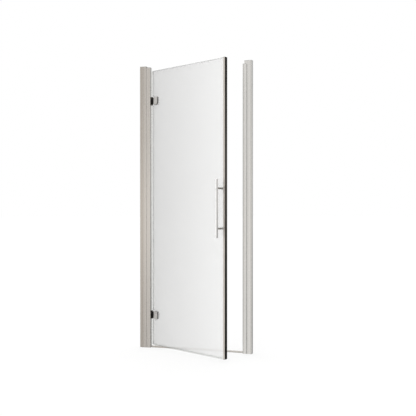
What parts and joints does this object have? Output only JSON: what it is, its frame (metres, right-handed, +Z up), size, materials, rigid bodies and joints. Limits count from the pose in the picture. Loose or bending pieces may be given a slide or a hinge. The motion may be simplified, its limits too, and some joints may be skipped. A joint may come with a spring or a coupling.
{
  "type": "hinged shower door",
  "caption": "Glass shower door hung on clamp hinges between adjustable wall profiles, with a bar handle, a magnetic closing edge and a low threshold.",
  "frame": {"origin": "on the floor, midway between the two walls, in the plane of the closed glass", "axes": "+X from the hinge side to the strike side, +Y into the shower, +Z up"},
  "size_m": [0.749, 0.3149, 1.85],
  "materials": {
    "satin_aluminium": "satin, drawn lengthwise",
    "grey_cap": "moulded, fine texture",
    "glass": "clear toughened glass, faintly grey-green",
    "satin_chrome": "satin plated",
    "polished_chrome": "polished",
    "black_hinge": "black satin coating",
    "black_seal": "extruded, satin",
    "clear_seal": "clear flexible extrusion",
    "steel": "plated",
    "white_bush": "self-lubricating",
    "gasket_rubber": "smooth",
    "magnet_core": "flexible magnet strip"
  },
  "bodies": {
    "frame": {"hinge_side_wall_profile": "satin_aluminium", "strike_side_wall_profile": "satin_aluminium", "hinge_side_wall_cap": "grey_cap", "strike_side_wall_cap": "grey_cap", "hinge_post": "satin_aluminium", "hinge_post_cap": "grey_cap", "strike_post": "satin_aluminium", "strike_post_cap": "grey_cap", "strike_magnet_seal": "black_seal", "strike_magnet_strip": "magnet_core", "threshold_bar": "satin_aluminium", "threshold_end_pads": "clear_seal", "hinge_side_locking_screws": "steel", "hinge_side_screw_covers": "grey_cap", "strike_side_locking_screws": "steel", "strike_side_screw_covers": "grey_cap", "lower_hinge_bracket": "black_hinge", "lower_hinge_pin": "steel", "lower_bracket_screws": "steel", "lower_backing_plate": "steel", "upper_hinge_bracket": "black_hinge", "upper_hinge_pin": "steel", "upper_bracket_screws": "steel", "upper_backing_plate": "steel"},
    "door": {"closing_profile": "satin_aluminium", "door_glass": "glass", "upper_front_plate": "satin_chrome", "lower_front_plate": "satin_chrome", "upper_back_plate": "satin_chrome", "lower_back_plate": "satin_chrome", "handle_bar": "polished_chrome", "handle_standoffs": "polished_chrome", "handle_back_nuts": "polished_chrome", "upper_hinge_knuckle": "black_hinge", "lower_hinge_knuckle": "black_hinge", "door_magnet_seal": "black_seal", "closing_profile_caps": "black_seal", "lower_edge_seal": "clear_seal", "middle_edge_seal": "clear_seal", "upper_edge_seal": "clear_seal", "bottom_drip_seal": "clear_seal", "handle_front_washers": "clear_seal", "handle_back_washers": "clear_seal", "upper_clamp_screws": "steel", "lower_clamp_screws": "steel", "handle_studs": "steel", "upper_hinge_bushes": "white_bush", "lower_hinge_bushes": "white_bush", "upper_clamp_gaskets": "gasket_rubber", "lower_clamp_gaskets": "gasket_rubber", "closing_profile_gaskets": "gasket_rubber", "door_magnet_strip": "magnet_core"}
  },
  "joints": [
    {"name": "door_swing", "type": "hinge", "parent": "frame", "child": "door", "pos_m": [-0.2942, 0, 0.9195], "axis": [0, 0, -1], "range_deg": [-24.2, 65.8]}
  ]
}
